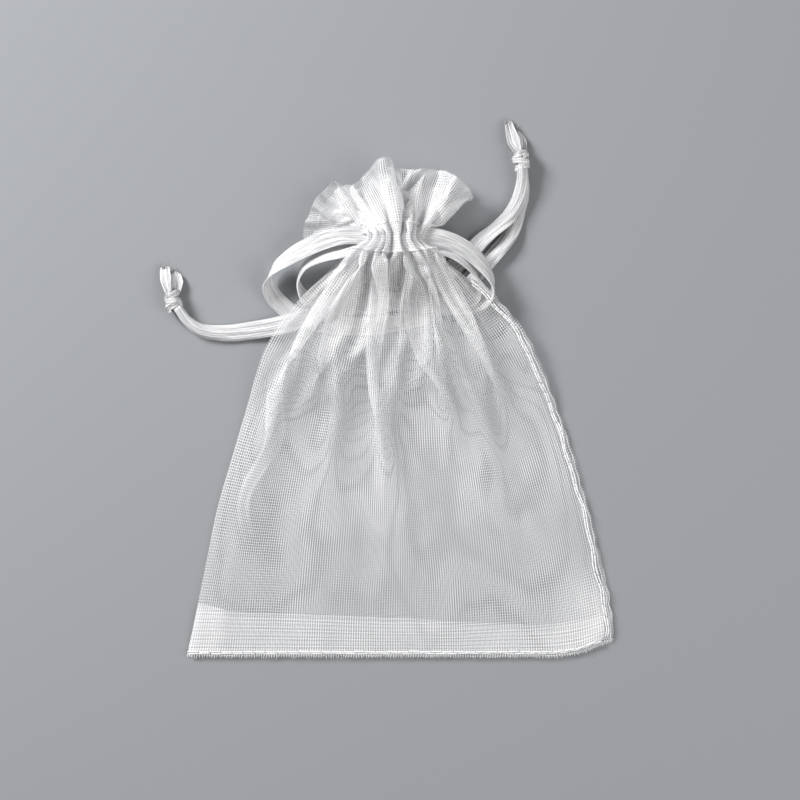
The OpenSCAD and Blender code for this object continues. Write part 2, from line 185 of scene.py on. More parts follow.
def make_camera():
    """Straight down, through a long lens, framed as the object is seen."""
    data = bpy.data.cameras.new("camera")
    camera = place("camera", data)
    data.lens = LENS
    data.sensor_width = SENSOR_W
    camera.location = (0, VIEW_MIDDLE_Y, VIEW_W * LENS / SENSOR_W)
    bpy.context.scene.camera = camera
    bpy.context.scene.cycles.transparent_max_bounces = 64
    bpy.context.scene.view_settings.view_transform = "Standard"


def make_area_light(name, at, size, power):
    """A square lamp that points at the middle of the table."""
    data = bpy.data.lights.new(name, "AREA")
    data.size = size
    data.energy = power
    light = place(name, data)
    light.location = at
    light.rotation_euler = (-Vector(at)).to_track_quat("-Z", "Y").to_euler()


def make_light():
    """A soft key from the upper left, a wide fill from the right, and a low even world."""
    world = bpy.data.worlds.new("studio")
    world.use_nodes = True
    background = world.node_tree.nodes["Background"]
    background.inputs["Color"].default_value = (1, 1, 1, 1)
    background.inputs["Strength"].default_value = WORLD_STRENGTH
    bpy.context.scene.world = world
    make_area_light("key", at=(-0.34, 0.26, 0.26), size=0.16, power=3.45)
    make_area_light("fill", at=(0.36, -0.14, 0.34), size=0.35, power=1.35)


def make_floor():
    """The plain pale paper that the pouch lies on."""
    bpy.ops.mesh.primitive_plane_add(size=FLOOR_SIZE, location=(0, 0, FLOOR_Z))
    floor = bpy.context.object
    floor.name = "floor"
    material = new_material("floor_paper")
    shader = material.node_tree.nodes["Principled BSDF"]
    shader.inputs["Base Color"].default_value = FLOOR_GREY
    shader.inputs["Roughness"].default_value = 0.9
    floor.data.materials.append(material)


# ---- Materials ----

def new_material(name):
    material = bpy.data.materials.new(name)
    material.use_nodes = True
    return material


class Nodes:
    """Short calls that add and join a material's nodes."""

    def __init__(self, material):
        self.tree = material.node_tree
        self.shader = self.tree.nodes["Principled BSDF"]

    def add(self, kind, **values):
        node = self.tree.nodes.new(kind)
        for name, value in values.items():
            setattr(node, name, value)
        return node

    def join(self, out, to):
        self.tree.links.new(out, to)

    def math(self, operation, a, b=0.0):
        node = self.add("ShaderNodeMath", operation=operation)
        for socket, value in zip(node.inputs, (a, b)):
            if isinstance(value, (int, float)):
                socket.default_value = value
            else:
                self.join(value, socket)
        return node.outputs[0]

    def times(self, a, b):
        return self.math("MULTIPLY", a, b)

    def plus(self, a, b):
        return self.math("ADD", a, b)

    def minus(self, a, b):
        return self.math("SUBTRACT", a, b)

    def ramp(self, value, low, high, to_low=0.0, to_high=1.0):
        """Eases from to_low to to_high while the value goes from low to high."""
        node = self.add("ShaderNodeMapRange", interpolation_type="SMOOTHSTEP")
        self.join(value, node.inputs["Value"])
        node.inputs["From Min"].default_value = low
        node.inputs["From Max"].default_value = high
        node.inputs["To Min"].default_value = to_low
        node.inputs["To Max"].default_value = to_high
        return node.outputs[0]

    def between(self, value, start, full, fading, gone, after=0.0):
        """Eases from 0 to 1 over start to full, and from 1 to after over fading to gone."""
        return self.times(self.ramp(value, start, full), self.ramp(value, fading, gone, 1.0, after))

    def uv(self):
        """The two cloth coordinates of a piece, in mm."""
        split = self.add("ShaderNodeSeparateXYZ")
        self.join(self.add("ShaderNodeUVMap", uv_map="cloth").outputs[0], split.inputs[0])
        return self.times(split.outputs[0], UV_MM), self.times(split.outputs[1], UV_MM)

    def noise(self, x, y, scale_x, scale_y, detail=2.0):
        """Smooth noise of two coordinates, each with its own scale."""
        join = self.add("ShaderNodeCombineXYZ")
        self.join(self.times(x, scale_x), join.inputs[0])
        self.join(self.times(y, scale_y), join.inputs[1])
        node = self.add("ShaderNodeTexNoise", noise_dimensions="2D")
        self.join(join.outputs[0], node.inputs["Vector"])
        node.inputs["Scale"].default_value = 1.0
        node.inputs["Detail"].default_value = detail
        return node.outputs[0]

    def threads(self, along, pitch, cover, soft):
        """1 on a thread and 0 between, for parallel threads that cover a share of their pitch."""
        wave = self.math("COSINE", self.times(along, 2 * math.pi / pitch))
        edge = math.cos(math.pi * cover)
        return self.ramp(wave, edge - soft, edge + soft)

    def colour_between(self, share, dark, light):
        node = self.add("ShaderNodeMix", data_type="RGBA")
        self.join(share, node.inputs["Factor"])
        node.inputs["A"].default_value = (*dark, 1)
        node.inputs["B"].default_value = (*light, 1)
        return node.outputs["Result"]

    def surface(self, colour, roughness, sheen, height, strength, depth):
        """Joins up the shader, given its sheen's weight and roughness, and its bump's depth in mm."""
        bump = self.add("ShaderNodeBump")
        self.join(height, bump.inputs["Height"])
        bump.inputs["Strength"].default_value = strength
        bump.inputs["Distance"].default_value = depth * MM
        for socket, out in (("Base Color", colour), ("Roughness", roughness), ("Normal", bump.outputs[0])):
            self.join(out, self.shader.inputs[socket])
        for socket, value in zip(("Sheen Weight", "Sheen Roughness"), sheen):
            self.shader.inputs[socket].default_value = value


def plain_weave(n, across, up, dense):
    """The warp, the weft and their cover: drifting threads, closer in some places than in others."""
    drift = n.times(n.minus(n.noise(across, up, 0.07, 0.045), 0.5), 0.7)
    warp = n.threads(n.plus(across, drift), THREAD_PITCH, 0.23, 0.17)
    weft = n.threads(n.plus(up, drift), THREAD_PITCH * 1.1, 0.19, 0.2)
    density = n.ramp(n.noise(across, up, 0.12, 0.06), 0.35, 0.65, 0.62 * dense, 0.92 * dense)
    cover = n.math("MAXIMUM", n.times(warp, density), n.times(weft, 0.52 * dense))
    return warp, weft, cover


def gathered(n, across, up, cover):
    """More cover in the creases that run down from the neck, and in the crowded threads at the neck."""
    creases = n.ramp(n.noise(across, up, 0.8, 0.012, 3.0), 0.49, 0.62)
    near_neck = n.between(up, 46, 70, 74, 85, 0.2)
    cover = n.plus(cover, n.times(n.times(creases, near_neck), 0.38))
    return n.plus(cover, n.times(n.between(up, 60, 71, 76, 84), 0.3))


def bottom_band(n, across, up, band, fold_at, cover):
    """More cover in the band along the bottom, which is lower towards the seam, and in the right corner."""
    cover = n.times(cover, n.ramp(up, 8, 36, 0.8, 1.0))
    waver = n.times(n.noise(across, up, 0.08, 0.0), 1.2)
    from_fold = n.minus(across, fold_at)
    slant = n.plus(n.ramp(from_fold, 0, 8, 1.1, 0.0), n.ramp(from_fold, 36, 60, 0.0, -2.2))
    edge = n.minus(n.plus(up, waver), n.plus(slant, band + 0.6))
    in_band = n.ramp(edge, -0.12, 0.12, 1.0, 0.0)
    extra = n.threads(n.plus(up, n.times(waver, 0.6)), THREAD_PITCH * 1.6, 0.45, 0.5)
    band_cover = n.plus(n.times(extra, 0.13), n.ramp(from_fold, 3.5, 7.5, 0.27, 0.11))
    cover = n.plus(cover, n.times(in_band, band_cover))
    corner = n.times(n.ramp(from_fold, 58, 69, 0.0, 0.25), n.ramp(up, 5, 15, 1.0, 0.0))
    return n.plus(cover, corner)


def fold_highlight(n, across, middle, half_width):
    """Painted highlight of a soft fold pressed into the cloth, given as extra cover: denser inside, and
    brightest at both edges.
    """
    off = n.math("ABSOLUTE", n.minus(across, middle))
    past_edge = n.minus(off, half_width)
    inside = n.ramp(past_edge, -0.5, 0.5, 0.11, 0.0)
    # painted highlight along both edges of the fold
    edges = n.ramp(n.math("ABSOLUTE", past_edge), 0.0, 0.7, 0.17, 0.0)
    return n.plus(inside, edges)


def front_fold_highlights(n, across, up):
    """Painted highlights of two folds, given as extra cover: one wanders down near the folded side, one runs
    down the middle.
    """
    wave = n.math("SINE", n.times(n.minus(up, 30), 0.314))
    wander = n.plus(n.times(wave, 1.8), 7.2)
    left = fold_highlight(n, across, wander, n.ramp(up, 22, 46, 1.0, 2.8))
    left = n.times(left, n.between(up, 17, 26, 46, 62))
    straight = n.plus(n.times(wave, 0.25), 31)
    middle = fold_highlight(n, across, straight, n.ramp(up, 26, 50, 0.7, 1.8))
    middle = n.times(middle, n.between(up, 20, 34, 46, 58))
    return n.plus(left, n.times(middle, 0.7))


def organza(name, band=0.0, fold_at=0, folds=False, dense=1.0):
    """Sheer white cloth; band is the height of its bottom band, fold_at where its folded side is across, and
    folds adds the painted highlights of two folds.
    """
    material = new_material(name)
    n = Nodes(material)
    across, up = n.uv()
    warp, weft, cover = plain_weave(n, across, up, dense)
    cover = gathered(n, across, up, cover)
    if band:
        cover = bottom_band(n, across, up, band, fold_at, cover)
    # the front's folds: painted highlights, given as extra cover
    if folds:
        cover = n.plus(cover, front_fold_highlights(n, across, up))
    n.join(n.math("MINIMUM", cover, 1.0), n.shader.inputs["Alpha"])
    tone = n.noise(across, up, 0.25, 0.25)
    colour = n.colour_between(tone, (0.90, 0.90, 0.92), (0.98, 0.98, 0.98))
    n.surface(colour, n.ramp(tone, 0.2, 0.8, 0.38, 0.55), (0.3, 0.4), n.plus(warp, weft), 0.25, 0.05)
    return material


def ribbon_weave():
    """Narrow woven ribbon: fine crosswise weft over lengthwise ribs, with a satin sheen, painted shade
    between the ribs, and darker lengthwise streaks.
    """
    material = new_material("ribbon_weave")
    n = Nodes(material)
    across, along = n.uv()
    ribs = n.threads(across, RIBBON_W / RIBS / 2, 0.5, 0.8)
    picks = n.threads(along, 0.28, 0.5, 0.8)
    wear = n.noise(across, along, 5.0, 0.22, 4.0)
    bands = n.noise(across, along, 1.1, 0.03, 1.0)
    streaks = n.times(n.ramp(wear, 0.38, 0.6, 0.35, 1.0), n.ramp(bands, 0.35, 0.6, 0.6, 1.0))
    # shade: painted shade between the ribs, times the darker lengthwise streaks
    shade = n.times(n.plus(n.times(ribs, 0.4), 0.6), streaks)
    colour = n.colour_between(shade, (0.5, 0.5, 0.52), (0.93, 0.93, 0.93))
    height = n.plus(n.times(ribs, 0.7), n.times(picks, 0.3))
    n.surface(colour, n.ramp(wear, 0.2, 0.8, 0.35, 0.6), (0.4, 0.3), height, 0.8, 0.08)
    return material


def sewing_thread():
    """Two-ply white thread, its plies wound round each other, with painted shade between the plies."""
    material = new_material("sewing_thread")
    n = Nodes(material)
    round_it, along = n.uv()
    ply = n.threads(n.plus(round_it, along), 0.5, 0.5, 0.8)
    # the colour is darker between the plies: painted shade
    colour = n.colour_between(ply, (0.86, 0.86, 0.87), (1.0, 1.0, 1.0))
    n.surface(colour, n.ramp(ply, 0.0, 1.0, 0.6, 0.45), (0.3, 0.5), ply, 0.6, 0.04)
    return material


# ---- Mesh helpers ----

def smoothstep(value, low, high):
    """Eases from 0 to 1 while the value goes from low to high."""
    t = np.clip((value - low) / (high - low), 0, 1)
    return t * t * (3 - 2 * t)


def make_piece(name, points, faces, uvs, material):
    """A smooth mesh of points in mm, with a cloth coordinate in mm for each point."""
    mesh = bpy.data.meshes.new(name)
    mesh.from_pydata((np.asarray(points) * MM).tolist(), [], faces)
    layer = mesh.uv_layers.new(name="cloth")
    corner = np.empty(len(mesh.loops), dtype=np.int32)
    mesh.loops.foreach_get("vertex_index", corner)
    layer.data.foreach_set("uv", (np.asarray(uvs, float)[corner] / UV_MM).ravel())
    mesh.polygons.foreach_set("use_smooth", [True] * len(mesh.polygons))
    mesh.materials.append(material)
    mesh.update()
    piece = place(name, mesh)
    return piece


def grid_faces(rows, columns, closed=False):
    """Quads of a grid of points stored row by row; closed joins the last column to the first."""
    last = columns if closed else columns - 1
    return [(r * columns + c, r * columns + (c + 1) % columns,
             (r + 1) * columns + (c + 1) % columns, (r + 1) * columns + c)
            for r in range(rows - 1) for c in range(last)]


def distances(points):
    """How far along a path each of its points is."""
    return np.concatenate([[0], np.cumsum(np.linalg.norm(np.diff(points, axis=0), axis=1))])


def points_at(path, along, places):
    """Points of a path at the given distances along it."""
    return np.stack([np.interp(places, along, path[:, k]) for k in range(path.shape[1])], axis=1)


def smooth_path(points, step):
    """Points every step along a Catmull-Rom curve through the given ones."""
    p = np.asarray(points, float)
    p = np.vstack([2 * p[0] - p[1], p, 2 * p[-1] - p[-2]])
    fine = []
    for i in range(1, len(p) - 2):
        t = np.linspace(0, 1, 24, endpoint=False)[:, None]
        a, b, c, d = p[i - 1], p[i], p[i + 1], p[i + 2]
        fine.append(0.5 * (2 * b + (c - a) * t + (2 * a - 5 * b + 4 * c - d) * t ** 2
                           + (3 * b - a - 3 * c + d) * t ** 3))
    fine = np.vstack(fine + [p[-2:-1]])
    along = distances(fine)
    places = np.linspace(0, along[-1], max(2, int(round(along[-1] / step)) + 1))
    return points_at(fine, along, places), places


def running_mean(values, reach):
    """Each value averaged with the reach values on either side of it."""
    count = 2 * reach + 1
    return np.convolve(np.pad(values, reach, mode="edge"), np.ones(count) / count, mode="valid")


def unit(v):
    return v / np.maximum(np.linalg.norm(v, axis=-1, keepdims=True), 1e-9)


# ---- The cloth's shape ----

def panel_rows():
    """Side edges, edge height and crown of the front panel, row by row, from its CAD solid, in mm."""
    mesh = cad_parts["front_panel"].data
    points = np.array([v.co for v in mesh.vertices]) / MM
    ys = np.unique(np.round(points[:, 1], 2))
    rows = [points[np.abs(points[:, 1] - y) < 0.02] for y in ys]
    left = np.array([row[row[:, 0].argmin()] for row in rows])
    right = np.array([row[row[:, 0].argmax()] for row in rows])
    crown = np.array([row[:, 2].max() for row in rows])
    return ys, left[:, 0], right[:, 0], left[:, 2], crown


def along_path(points, shares):
    """Points at the given shares of a path's length."""
    points = np.asarray(points, float)
    at = distances(points)
    return points_at(points, at, np.asarray(shares) * at[-1])


class Cloth:
    """A grid of the whole bag, 1 mm a step: rows up from the bottom seam, columns round from the fold."""

    def __init__(self):
        self.around = 2 * HALF_ROUND
        self.p = np.zeros((ALL_ROWS + 1, self.around, 3))
        self.free = np.ones((ALL_ROWS + 1, self.around, 1))
        self.find_neck()
        self.shape_at_rest()

    def halves(self):
        """For each half: its columns, from the fold to the side seam, and its side of the bag."""
        front = np.arange(HALF_ROUND + 1)
        back = (self.around - np.arange(HALF_ROUND + 1)) % self.around
        return (front, 1.0), (back, -1.0)

    def find_neck(self):
        """The neck's middle and height, and where the casing and the frill start, in mm."""
        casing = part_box("casing_front")
        self.neck_x = (casing[0][0] + casing[1][0]) / 2 / MM
        self.neck_top = casing[1][2] / MM
        self.neck_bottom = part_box("casing_back")[0][2] / MM
        self.neck_z = (self.neck_top + self.neck_bottom) / 2
        self.casing_y = casing[0][1] / MM
        self.frill_y = casing[1][1] / MM

    def outline(self, ys, left, right, edge_z):
        """The folded side, the sewn side, and the bottom with its right corner turned up."""
        seam_left, seam_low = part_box("bottom_seam")[0][:2]
        bottom_y = seam_low / MM + BOTTOM_IN
        side_z = np.maximum(edge_z - 0.45, LOWEST)
        left_path = np.stack([left, ys, side_z], axis=1)
        left_path[0] = (seam_left / MM, bottom_y, LOWEST)
        corner = (right.max() - 0.1, bottom_y + 2.2, LOWEST)
        above = ys > corner[1] + 0.5
        right_path = np.vstack([corner, np.stack([right, ys, side_z], axis=1)[above]])
        left_path[-1], right_path[-1] = self.ring(np.array([0.0, 1.0]), 1.0, 0)
        bottom_path = [left_path[0], (corner[0] - 8, bottom_y, LOWEST),
                       (corner[0] - 4.5, bottom_y + 0.5, LOWEST), corner]
        return left_path, right_path, bottom_path

    def shape_at_rest(self):
        """The grid before it settles: a body with soft waves, a pleated neck and a fanned frill."""
        ys, left, right, edge_z, crown = panel_rows()
        left_path, right_path, bottom_path = self.outline(ys, left, right, edge_z)
        share = np.arange(HALF_ROUND + 1) / HALF_ROUND
        rows = np.arange(BODY_ROWS + 1) / BODY_ROWS
        left_edge = along_path(left_path, rows)
        right_edge = along_path(right_path, rows)
        bottom = along_path(bottom_path, share)
        for columns, side in self.halves():
            for r in range(BODY_ROWS + 1):
                edges = left_edge[r], right_edge[r]
                self.p[r, columns] = self.body_row(r, share, side, *edges, bottom, crown, ys)
            for r in range(BODY_ROWS, ALL_ROWS + 1):
                self.p[r, columns] = self.neck_row(r, share, side)
        self.pin(left_edge, right_edge)

    def body_row(self, r, share, side, left, right, bottom, crown, ys):
        """One row of a panel before it settles: straight at the bottom, gathered at the top."""
        t = r / BODY_ROWS
        line = left + (right - left) * share[:, None]
        middle_y = bottom[0, 1] + (self.casing_y - bottom[0, 1]) * t
        sag = np.sin(np.pi * share) ** 0.6 * (1 - t) ** 0.3
        line[:, 1] += (middle_y - line[:, 1]) * sag * min(1, r / 12)
        blend = smoothstep(r, 0, 8)
        line = bottom + (line - bottom) * blend if r < 8 else line
        top = np.interp(line[:, 1], ys, crown) - 0.8
        dome = np.sin(np.pi * share) ** 0.8
        height = (top - 0.9 - line[:, 2]) * dome if side > 0 else 0.25 * dome
        few = 1.5 * np.sin(2 * np.pi * 4.5 * share + 0.6 * side) * smoothstep(t, 0.15, 0.6) * (1 - t)
        many = 1.5 * np.cos(2 * np.pi * PLEATS * share) * smoothstep(t, 0.35, 0.9)
        lowest = LOWEST if side < 0 else LOWEST + LAYER_GAP
        line[:, 2] = np.maximum(line[:, 2] + (height + (few + many) * dome) * blend, lowest)
        ring = self.ring(share, side, 0)
        return line + (ring - line) * smoothstep(t, 0.8, 1) ** 2

    def ring(self, share, side, up):
        """A pleated half turn round the neck, up being a share of the casing's height, flared at the body."""
        angle = np.pi * (1 - share)
        uneven = 0.3 * np.sin(2 * np.pi * 2.3 * share + side) + 0.15 * np.sin(2 * np.pi * 5.1 * share)
        pleat = 0.5 - 0.5 * np.cos(2 * np.pi * (PLEATS * share + uneven * np.sin(np.pi * share)))
        wide = 2.9 + 2.1 * pleat
        high = (self.neck_top - self.neck_bottom) / 2 * (0.5 + 0.5 * pleat)
        length = self.frill_y - self.casing_y
        below = max(0.0, 0.4 - up) * length
        fan = np.radians(FAN) * np.cos(angle)
        y = self.casing_y + max(up, 0.4) * length - below * np.cos(fan)
        return np.stack([self.neck_x + wide * np.cos(angle) + 1.2 * below * np.sin(fan), y,
                         self.neck_z + side * high * np.sin(angle)], axis=1)

    def neck_row(self, r, share, side):
        """A row of the casing as far as the ribbons, or of the fan that spreads from there to the rim."""
        tight = CASING_ROWS - 2
        up = r - BODY_ROWS
        ring = self.ring(share, side, min(tight, up) / CASING_ROWS)
        if up <= tight:
            return ring
        out = (up - tight) / (CASING_ROWS + FRILL_ROWS - tight)
        return ring + (self.rim(share, side) - ring) * out

    def rim(self, share, side):
        """The frill's edge before it settles, waved up and down."""
        table = np.array(FRILL_RIM[::-1], float)
        path = np.stack([self.neck_x + table[:, 0], self.frill_y + table[:, 1]], axis=1)
        edge = along_path(path, share)
        if side > 0:
            shorter = 0.13 * (1 - smoothstep(share, 0.26, 0.36))
            shorter += 0.36 * smoothstep(share, 0.59, 0.62) * (1 - smoothstep(share, 0.7, 0.76))
        else:
            shorter = 0.12 * smoothstep(share, 0.34, 0.42) * (1 - smoothstep(share, 0.6, 0.63))
        centre = np.array([self.neck_x, self.frill_y - 2])
        edge = centre + (edge - centre) * (1 - shorter)[:, None]
        level = RIM_FRONT_Z if side > 0 else RIM_BACK_Z
        middle = np.sin(np.pi * share) ** 2
        phase = 2 * np.pi * (5.5 * share + 0.28 * np.sin(2 * np.pi * 1.7 * share + side))
        tall = 1.3 + 0.9 * np.sin(2 * np.pi * 1.3 * share - 1.2 + 0.8 * side)
        wave = tall * np.sin(phase + (0.0 if side > 0 else 1.7)) * np.sin(np.pi * share) ** 0.4
        wave += 0.45 * np.sin(2 * np.pi * (12.5 * share + 0.5 * np.sin(2 * np.pi * 1.9 * share)) + side)
        height = level * middle + RIM_SIDE_Z * (1 - middle) + wave * (0.4 + 0.6 * middle)
        return np.column_stack([edge, height])

    def pin(self, left_edge, right_edge):
        """Holds the sides, the bottom and the casing still, and remembers where the rim belongs."""
        self.p[:BODY_ROWS + 1, 0] = left_edge
        self.p[:BODY_ROWS + 1, HALF_ROUND] = right_edge
        self.free[0] = 0
        self.free[:BODY_ROWS + 1, [0, HALF_ROUND]] = 0
        self.free[BODY_ROWS:BODY_ROWS + CASING_ROWS - 1] = 0
        self.rim_goal = self.p[-1].copy()

    # -- settling --

    def draw(self, a, b, rest, push, pull):
        """Brings pairs of points towards their distance apart: by push if too near, by pull if too far."""
        d = self.p[b] - self.p[a]
        length = np.maximum(np.linalg.norm(d, axis=-1, keepdims=True), 1e-6)
        off = length - rest
        weight = self.free[a] + self.free[b]
        move = d / length * off * np.where(off > 0, pull, push) / np.maximum(weight, 1e-6)
        self.p[a] += move * self.free[a]
        self.p[b] -= move * self.free[b]

    def pairs(self):
        """Point pairs that hold the weave, with their rest, push and pull: threads, bias, then stiffness."""
        rows, columns = np.arange(ALL_ROWS + 1), np.arange(self.around)
        sets = []

        def pick(row_from, row_by, row_step, col_from, col_by, col_step):
            r = rows[row_from:ALL_ROWS + 1 - row_step:row_by]
            c = columns[col_from::col_by]
            return np.ix_(r, c), np.ix_(r + row_step, (c + col_step) % self.around)

        for k in (0, 1):
            sets.append((*pick(0, 1, 0, k, 2, 1), 1.0, 0.6, 1.0))
            sets.append((*pick(k, 2, 1, 0, 1, 0), 1.0, 0.6, 1.0))
            sets.append((*pick(k, 2, 1, 0, 1, 1), math.sqrt(2), 0.05, 0.15))
            sets.append((*pick(k, 2, 1, 0, 1, -1), math.sqrt(2), 0.05, 0.15))
        for k in (0, 2):
            for j in (0, 1):
                sets.append((*pick(0, 1, 0, k + j, 4, 2), 2.0, 0.05, 0.0))
                sets.append((*pick(k + j, 4, 2, 0, 1, 0), 2.0, 0.12, 0.0))
        return sets

    def floor_height(self, y):
        """The table, and the ribbons that the back lies on towards the neck."""
        return 0.15 + 1.25 * smoothstep(y, 2, 10) * (1 - smoothstep(y, 29, 33))

    def keep_apart(self):
        """Nothing goes through the table, the front stays above the back, and the frill below ribbon A."""
        self.p[..., 2] = np.maximum(self.p[..., 2], self.floor_height(self.p[..., 1]))
        self.front_above_back()
        self.frill_below_ribbon()

    def front_above_back(self):
        """Lifts the front over the highest point of the back in the same square millimetre."""
        span = 48

        def squares(points):
            ix = np.clip((points[..., 0] + span).astype(int), 0, 2 * span - 1)
            return ix, np.clip((points[..., 1] + span).astype(int), 0, 2 * span - 1)

        back = self.p[:, HALF_ROUND + 1:]
        top = np.zeros((2 * span, 2 * span))
        np.maximum.at(top, squares(back), back[..., 2])
        front = self.p[:, 1:HALF_ROUND]
        low = top[squares(front)] + LAYER_GAP
        movable = self.free[:, 1:HALF_ROUND, 0] > 0
        front[..., 2] = np.where(movable, np.maximum(front[..., 2], low), front[..., 2])

    def frill_below_ribbon(self):
        """Keeps the frill's left end under ribbon A, which lies lower the farther left it is."""
        frill = self.p[BODY_ROWS + CASING_ROWS + 1:]
        below_ribbon = np.interp(frill[..., 0], (-14.5, -10, -6), (3.7, 4.9, 5.4))
        below_ribbon[:, HALF_ROUND + 1:] -= LAYER_GAP
        covered = (frill[..., 0] < -5.4) & (frill[..., 1] < 30.3)
        frill[..., 2] = np.where(covered, np.minimum(frill[..., 2], below_ribbon), frill[..., 2])

    def settle(self, steps):
        """Lets the cloth sag, with its weave kept to length and its layers apart."""
        sets = self.pairs()
        before = self.p.copy()
        for step in range(steps):
            velocity = (self.p - before) * DRAG
            before = self.p.copy()
            velocity[..., 2] -= WEIGHT
            self.p += np.clip(velocity, -TOP_SPEED, TOP_SPEED) * self.free
            for a, b, rest, push, pull in sets:
                self.draw(a, b, rest, push, pull)
            self.p[-1, :, :2] += (self.rim_goal[:, :2] - self.p[-1, :, :2]) * RIM_HOLD
            if step % 4 == 0:
                self.keep_apart()
        self.keep_apart()
        self.press()
        self.keep_apart()

    def press(self):
        """Takes narrow folds out of the lower part, which lies smooth; the gathered part keeps its own."""
        rows = np.arange(1, BODY_ROWS)
        weight = 0.5 * (1 - smoothstep(rows, 16, 46))[:, None, None]
        for _ in range(60):
            p = self.p[:BODY_ROWS + 1]
            beside = (np.roll(p, 1, axis=1) + np.roll(p, -1, axis=1))[1:-1]
            mean = (p[:-2] + p[2:] + beside) / 4
            p[1:-1] += (mean - p[1:-1]) * weight * self.free[1:BODY_ROWS]


def turned_in(cloth, block, side):
    """The same cloth on the inside: offset inwards, and drawn in by the ribbons inside the casing."""
    normal = unit(np.cross(np.gradient(block, axis=1), np.gradient(block, axis=0)))
    block = block + normal * (FACING_IN if side == "front" else -FACING_IN)
    centre = np.array([cloth.neck_x, 0, cloth.neck_z])
    for r in range(1, CASING_ROWS):
        away = (block[r] - centre) * np.array([1, 0, 1])
        block[r] -= away * FACING_DRAWN
    return block


def cut(cloth, name, first_row, last_row, side, material, inside=False):
    """A piece of the settled cloth, from one row to another, of the front or the back."""
    columns = cloth.halves()[0 if side == "front" else 1][0]
    block = cloth.p[first_row:last_row + 1][:, columns]
    if inside:
        block = turned_in(cloth, block, side)
    rows, count = block.shape[:2]
    s, t = np.meshgrid(np.arange(count), np.arange(first_row, last_row + 1))
    s = s if side == "front" else s + HALF_ROUND
    faces = grid_faces(rows, count)
    if side == "back":
        faces = [face[::-1] for face in faces]
    uvs = np.stack([s.ravel(), t.ravel()], axis=1)
    piece = make_piece(name, block.reshape(-1, 3), faces, uvs, material)
    smooth = piece.modifiers.new("smooth", "SUBSURF")
    smooth.levels = 1
    smooth.render_levels = 1
    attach(piece, "pouch")
    return piece


def make_cloth():
    """The settled bag, cut into body, frill and the turned-in cloth inside, each a front and a back."""
    cloth = Cloth()
    cloth.settle(STEPS)
    front_weave = organza("organza_front", band=BAND_H, folds=True)
    back_weave = organza("organza_back", band=BAND_H - 0.7, fold_at=HALF_ROUND)
    plain = organza("organza_frill", dense=0.95)
    top = BODY_ROWS + CASING_ROWS
    front = cut(cloth, "pouch_front", 0, top, "front", front_weave)
    back = cut(cloth, "pouch_back", 0, top, "back", back_weave)
    frill_front = cut(cloth, "frill_front", top, ALL_ROWS, "front", plain)
    frill_back = cut(cloth, "frill_back", top, ALL_ROWS, "back", plain)
    facing_front = cut(cloth, "facing_front", BODY_ROWS, ALL_ROWS, "front", plain, inside=True)
    facing_back = cut(cloth, "facing_back", BODY_ROWS, ALL_ROWS, "back", plain, inside=True)
    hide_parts("front_panel", "casing_front")
    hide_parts("back_panel", "casing_back")
    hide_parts("heading_front")
    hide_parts("heading_back")
    return cloth


# ---- Ribbons ----

def section(rings, side, face, width, curl, along, seed):
    """Skin points of a flat ribbon, ring by ring: curled, ribbed, and creased except behind the pouch."""
    noise = np.random.default_rng(seed)
    v = np.linspace(-0.5, 0.5, 4 * RIBS + 1)
    curl = np.where(np.abs(curl) < FLAT_CURL, FLAT_CURL, curl)[:, None]
    width = np.broadcast_to(width, len(rings))[:, None]
    angle = v * curl
    across = width / curl * np.sin(angle)
    rise = -width / curl * (1 - np.cos(angle))
    ribs = RIB_DEPTH * np.cos(2 * np.pi * RIBS * v)
    crease = np.zeros((len(rings), len(v)))
    for _ in range(5):
        turns, slow, phase, drift = noise.uniform((1, 0.15, 0, -1), (4, 0.5, 6.3, 1))
        wave = np.sin(2 * np.pi * turns * v + slow * along[:, None] + phase)
        crease += CREASE_DEPTH * wave * np.cos(drift * along[:, None])
    pressed = smoothstep(rings[:, 0], -20, -17) * (1 - smoothstep(rings[:, 0], 9, 12))
    pressed *= 1 - smoothstep(rings[:, 2], 1.3, 2)
    crease *= 1 - 0.85 * pressed[:, None]
    half = RIBBON_T / 2 * np.sqrt(np.maximum(1 - (2 * v) ** 8, 0.0)) + 0.01

    def skin(off):
        x = across + off * np.sin(angle)
        z = rise + off * np.cos(angle)
        return rings[:, None] + side[:, None] * x[..., None] + face[:, None] * z[..., None]

    return np.concatenate([skin(crease + ribs + half), skin(crease - ribs - half)[:, ::-1]], axis=1)


def skin_mesh(loops, along, width):
    """Faces and cloth coordinates of a closed skin given ring by ring."""
    rows, count = loops.shape[:2]
    faces = [f[::-1] for f in grid_faces(rows, count, closed=True)]
    faces.append(tuple(range(count)))
    faces.append(tuple(range(rows * count - 1, (rows - 1) * count - 1, -1)))
    v = np.linspace(-0.5, 0.5, count // 2)
    u = np.concatenate([v, v[::-1]]) * width
    uvs = np.stack([np.tile(u, rows), np.repeat(along, count)], axis=1)
    return loops.reshape(-1, 3), faces, uvs


def ribbon_axes(rings, turn):
    """The directions along a ribbon's length, width and face, its width turned from level."""
    forward = unit(np.gradient(rings, axis=0))
    level = unit(np.cross(forward, UP))
    side = level * np.cos(turn)[:, None] + np.cross(level, forward) * np.sin(turn)[:, None]
    return forward, side, np.cross(side, forward)


